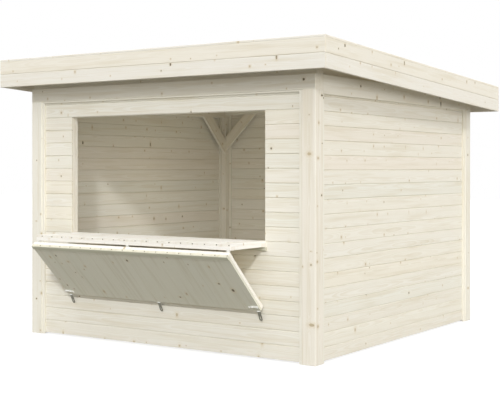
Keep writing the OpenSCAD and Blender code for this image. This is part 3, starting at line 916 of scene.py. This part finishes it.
def fascias():
    """Two boards a side. Their joint and the line under the trim are chamfered."""
    for node, outward in (("fascia_front", -Y), ("fascia_back", Y), ("fascia_left", -X),
                          ("fascia_right", X)):
        pile = Pile("boards_" + node)
        pairs = loose_boxes(node)
        middle = sum(low[2] + high[2] for low, high in pairs) / 2 / len(pairs)
        for low, high in pairs:
            lower = low[2] + high[2] < 2 * middle
            foot, head = LOWER_FASCIA if lower else UPPER_FASCIA
            level = abs(outward[1]) > 0
            length = high[1] - low[1]
            tall = high[2] - low[2] - length * SLOPE
            thick = (high - low)[1 if level else 0]
            start = np.array([low[0], low[1], high[2] - tall])
            into, run = (DOWN_ROOF, X) if level else (X, DOWN_ROOF)
            if outward.sum() > 0:
                start = start + into * thick
                into = -into
            outline = [(foot, 0), (thick, 0), (thick, tall), (head, tall), (0, tall - head),
                       (0, foot)]
            pile.prism(outline, start, (into, Z, run), high[0] - low[0] if level else length,
                       grain=(run, outward))
        pile.build(FASCIA_WOOD, "fascia_timber", node)


def trims():
    """The strips round the felt, along the roof's edges."""
    pile = Pile("sticks_roof_trims")
    for low, high in loose_boxes("roof_trims"):
        size = high - low
        length = size[1]
        tall = size[2] - length * SLOPE
        origin = np.array([low[0], low[1], high[2] - tall])
        if size[0] > size[1]:
            pile.prism(rectangle(length, tall, 3 * MM), origin, (DOWN_ROOF, Z, X), size[0],
                       grain=(X, Z))
        else:
            pile.prism(rectangle(size[0], tall, 3 * MM), origin, (X, Z, DOWN_ROOF), length,
                       grain=(DOWN_ROOF, Z))
    pile.build(FASCIA_WOOD, "fascia_timber", "roof_trims")


# ---- Ironmongery ----

def screw_heads(pile, places, normal):
    """Low round heads that stand on a face."""
    side = unit(np.cross(normal, X + 0.01 * Y + 0.02 * Z))
    face = np.cross(normal, side)
    for place in places:
        pile.prism(disc(SCREW_R, 12), np.array(place), (side, face, normal), SCREW_STAND,
                   ease=STEEL_EASE)


def leaf(pile, wide, place, axes, length):
    """A steel plate with its edges eased."""
    pile.prism(rectangle(wide, PLATE, STEEL_EASE), place, axes, length, ease=STEEL_EASE)


def knuckles(pile, pin, radius, wide):
    """A barrel in three parts, from the left end of its pin."""
    part = wide / 3
    for i in range(3):
        pile.prism(disc(radius, 20), pin + X * (i * part + KNUCKLE_GAP / 2), (Y, Z, X),
                   part - KNUCKLE_GAP, ease=STEEL_EASE)


def hinges():
    """Each hinge has a pin in a barrel of three knuckles, and two screwed leaves."""
    pile = Pile("iron_flap_hinges")
    for low, high in loose_boxes("flap_hinges"):
        wide = high[0] - low[0]
        top = high[2]
        y = FLAP_TOP[1]
        pin = np.array([low[0], y, top - KNUCKLE_R])
        pile.prism(disc(PIN_R, 12), pin, (Y, Z, X), wide, ease=0.5 * MM)
        knuckles(pile, pin, KNUCKLE_R, wide)
        reach = high[1] - y
        leaf(pile, wide, np.array([low[0], y, top - PLATE]), (X, Z, Y), reach)
        leaf(pile, wide, at_flap(low[0], 0, 0), (X, FLAP_IN, FLAP_DOWN), reach)
        middle = (low[0] + high[0]) / 2
        screw_heads(pile, [(middle, y + away, top - PLATE) for away in HINGE_SCREWS], -Z)
        screw_heads(pile, [at_flap(middle, away, PLATE) for away in HINGE_SCREWS], FLAP_IN)
    pile.build(STEEL, "galvanised_steel", "flap_hinges", smooth=40)


def quarter_ring(radius, middle, start, sides):
    """A quarter of a circle of points about a middle, from an angle in quarter turns."""
    turns = [math.pi / 2 * (start + side / sides) for side in range(sides + 1)]
    return [(middle[0] + radius * math.cos(turn), middle[1] + radius * math.sin(turn))
            for turn in turns]


def hasp_half():
    """The right half of a hasp's plate, with half its slot: x across and y downwards."""
    half, slot = HASP_WIDTH / 2, HASP_SLOT[0] / 2
    low = HASP_LENGTH - half
    high = low - HASP_SLOT[1] + HASP_SLOT[0]
    foot = quarter_ring(half, (0, low), 0, 8)
    under = quarter_ring(slot, (0, low), 0, 6)
    over = quarter_ring(slot, (0, high), 3, 6)
    return [(0, 0), (half, 0)] + foot + under[::-1] + over[::-1]


def hasp(pile, plate, x):
    """A fixed leaf, a knuckle in three parts, and a plate that leans towards the wall."""
    left = x - HASP_WIDTH / 2
    leaf(pile, HASP_WIDTH, at_flap(left, FLAP_LENGTH, -PANEL), (X, FLAP_DOWN, FLAP_IN),
         HASP_LEAF)
    heads = [at_flap(x + side * HASP_SCREW_OUT, FLAP_LENGTH + PLATE, HASP_SCREW_IN - PANEL)
             for side in (-1, 1)]
    screw_heads(pile, heads, FLAP_DOWN)
    pin = at_flap(left, FLAP_LENGTH + HASP_KNUCKLE_R + PLATE / 8, PLATE / 2 - PANEL)
    knuckles(pile, pin, HASP_KNUCKLE_R, HASP_WIDTH)
    down = Y * math.sin(HASP_LEAN) - Z * math.cos(HASP_LEAN)
    out = -Y * math.cos(HASP_LEAN) - Z * math.sin(HASP_LEAN)
    top = pin + X * HASP_WIDTH / 2 - out * PLATE / 2
    for side in (-1, 1):
        plate.prism(hasp_half(), top, (X * side, down, out), PLATE, ease=0)


def hasps():
    """The knuckles and leaves are bright, and the hanging plates are a dark steel that paints in
    the shade they hang in.
    """
    pile, plate = Pile("iron_hasps"), Pile("iron_hasp_plates")
    for low, high in loose_boxes("hasps"):
        hasp(pile, plate, (low[0] + high[0]) / 2)
    pile.build(STEEL, "galvanised_steel", smooth=40)
    plate.build(SHADED_STEEL, "galvanised_steel", "hasps", smooth=40)


def slide_bolt(pile, end, ahead):
    """A rod with a bent end in two keepers on a plate. ahead points to the flap's end."""
    side = X * ahead
    down = FLAP_LENGTH - BOLT_UP
    axle = at_flap(end, down, -PANEL - BOLT_STAND)
    pile.prism(disc(BOLT_R), axle - side * BOLT_LENGTH, (FLAP_DOWN, FLAP_IN, side),
               BOLT_LENGTH, ease=0.8 * MM)
    elbow = axle - side * (BOLT_LENGTH - BOLT_R)
    pile.prism(disc(BOLT_R), elbow, (side, FLAP_IN, FLAP_DOWN), BOLT_BEND, ease=1.2 * MM)
    plate = at_flap(end, down - BOLT_PLATE_WIDTH / 2, -PANEL - BOLT_PLATE)
    plate = plate - side * (BOLT_LENGTH - BOLT_PLATE_INSET)
    pile.prism(rectangle(BOLT_PLATE_WIDTH, BOLT_PLATE, 0.3 * MM), plate,
               (FLAP_DOWN, FLAP_IN, side), BOLT_PLATE_LENGTH, ease=0.3 * MM)
    for inset in (KEEPER, BOLT_LENGTH - 2 * KEEPER):
        start = axle - side * inset - FLAP_DOWN * KEEPER / 2 - FLAP_IN * (BOLT_R + PLATE)
        pile.prism(rectangle(KEEPER, BOLT_R + PLATE + BOLT_STAND, 2.5 * MM), start,
                   (FLAP_DOWN, FLAP_IN, side), KEEPER, ease=0.8 * MM)


def slide_bolts():
    """One at each side of the flap, with the end of its rod level with the flap's edge."""
    pile = Pile("iron_slide_bolts")
    for end, ahead in ((FLAP_LEFT, -1), (FLAP_RIGHT, 1)):
        slide_bolt(pile, end, ahead)
    pile.build(STEEL, "galvanised_steel", "slide_bolts", smooth=40)


# ---- Camera, light and floor ----

def camera():
    """A level camera in front and to the right, at the height of a person's eyes."""
    data = bpy.data.cameras.new("camera")
    data.lens = 76.75
    data.sensor_width = 36
    data.shift_y = -0.063
    data.clip_end = 100
    view = bpy.data.objects.new("camera", data)
    view.location = (5.61, -8.317, 1.495)
    view.rotation_euler = (math.radians(90), 0, math.radians(34.14))
    bpy.context.collection.objects.link(view)
    bpy.context.scene.camera = view


# Each sun: its name, where it stands, its strength, its width in degrees and its colour
SUNS = (
    ("key", (0.75, -1.0, 0.35), 0.7, 36, (0.96, 0.98, 1.0)),
    ("sun", (0.575, -1.0, 0.65), 1.15, 5, (0.985, 0.99, 1.0)),
    ("side", (1.0, -0.1, 0.15), 1.0, 36, (1.0, 0.985, 0.96)),
    ("high", (0.1, -0.35, 1.0), 1.05, 60, (1.0, 1.0, 1.0)),
    ("back", (-0.7, 1.0, 0.4), 0.8, 60, (1.0, 1.0, 1.0)),
)


def lamp(name, kind, energy, colour=(1.0, 1.0, 1.0)):
    """Adds a lamp, for its caller to place."""
    data = bpy.data.lights.new(name, kind)
    data.energy = energy
    data.color = colour
    thing = bpy.data.objects.new(name, data)
    bpy.context.collection.objects.link(thing)
    return thing


def suns():
    """Lamps far away: a sharp sun that casts the shadows, and broad ones around it."""
    for name, place, energy, angle, colour in SUNS:
        sun = lamp(name, "SUN", energy, colour)
        sun.data.angle = math.radians(angle)
        sun.rotation_euler = Vector(place).to_track_quat("Z", "Y").to_euler()


def room_light():
    """A lamp that lies on the ground inside the stall, as a pale floor would shine."""
    panel = lamp("room_light", "AREA", 7.0)
    panel.data.size = 2.4
    panel.location = (0, ROOM_Y, 0.08)
    panel.rotation_euler = (math.radians(180), 0, 0)
    panel.visible_camera = False


def glow(name, place, energy, radius, colour):
    """A soft ball of light, for light that reaches a closed-in space by many bounces."""
    ball = lamp(name, "POINT", energy, colour)
    ball.data.shadow_soft_size = radius
    ball.location = place
    ball.visible_camera = False


def glows():
    """One in the middle of the room, and three behind the flap, which are warm from the wood."""
    glow("room_glow", (-0.6, ROOM_Y, 1.25), 4.7, 0.4, (1.0, 0.94, 0.78))
    behind_flap = at_flap(0, FLAP_LENGTH * 0.45, 0.16)
    for x in (-0.8, 0.0, 0.8):
        glow("flap_glow", behind_flap + X * x, 0.1, 0.05, (1.0, 0.8, 0.5))


def seen(nodes, links):
    """1 for rays from the camera, and those that come to it by a gloss or through glass."""
    path = nodes.new("ShaderNodeLightPath")
    total = path.outputs["Is Camera Ray"]
    for name in ("Is Glossy Ray", "Is Transmission Ray"):
        add = nodes.new("ShaderNodeMath")
        add.operation = "MAXIMUM"
        links.new(total, add.inputs[0])
        links.new(path.outputs[name], add.inputs[1])
        total = add.outputs[0]
    return total


def dome():
    """An even, slightly warm sky, plain white where the camera sees it."""
    world = bpy.data.worlds.new("dome")
    world.use_nodes = True
    nodes, links = world.node_tree.nodes, world.node_tree.links
    back = nodes["Background"]
    white = nodes.new("ShaderNodeMix")
    white.data_type = "RGBA"
    white.inputs[6].default_value = (1.0, 0.975, 0.92, 1.0)
    white.inputs[7].default_value = (1.0, 1.0, 1.0, 1.0)
    strength = nodes.new("ShaderNodeMapRange")
    strength.inputs["To Min"].default_value = 0.5
    strength.inputs["To Max"].default_value = 1.0
    eye = seen(nodes, links)
    links.new(eye, strength.inputs["Value"])
    links.new(eye, white.inputs[0])
    links.new(white.outputs[2], back.inputs["Color"])
    links.new(strength.outputs[0], back.inputs["Strength"])
    bpy.context.scene.world = world


def floor():
    """A floor that bounces light as pale ground does, and looks white but for faint shadows."""
    mesh = bpy.data.meshes.new("floor")
    far = 40
    mesh.from_pydata([(-far, -far, 0), (far, -far, 0), (far, far, 0), (-far, far, 0)], [],
                     [(0, 1, 2, 3)])
    plane = bpy.data.objects.new("floor", mesh)
    bpy.context.collection.objects.link(plane)
    plane.location.z = -1 * MM
    shade = Shade("floor")
    eye = seen(shade.tree.nodes, shade.tree.links)
    colour = shade.mix(eye, linear(144, 141, 134), linear(140, 140, 140))
    shade.feed(shade.shader.inputs["Base Color"], colour)
    shade.shader.inputs["Emission Color"].default_value = (1, 1, 1, 1)
    shade.feed(shade.shader.inputs["Emission Strength"], shade.times(eye, 0.8))
    shade.shader.inputs["Roughness"].default_value = 1.0
    shade.shader.inputs["Specular IOR Level"].default_value = 0.0
    mesh.materials.append(shade.material)


def main():
    bpy.context.scene.view_settings.view_transform = "Standard"
    posts()
    beams()
    sheared_stick("beam_back", Y, heart=True)
    sheared_stick("riser_front", -Y, heart=False)
    walls()
    strips()
    gables()
    braces()
    hatch_frame()
    counter()
    flap()
    hinges()
    hasps()
    slide_bolts()
    rafters()
    deck()
    roofing_felt()
    fascias()
    trims()
    camera()
    suns()
    room_light()
    glows()
    dome()
    floor()


main()
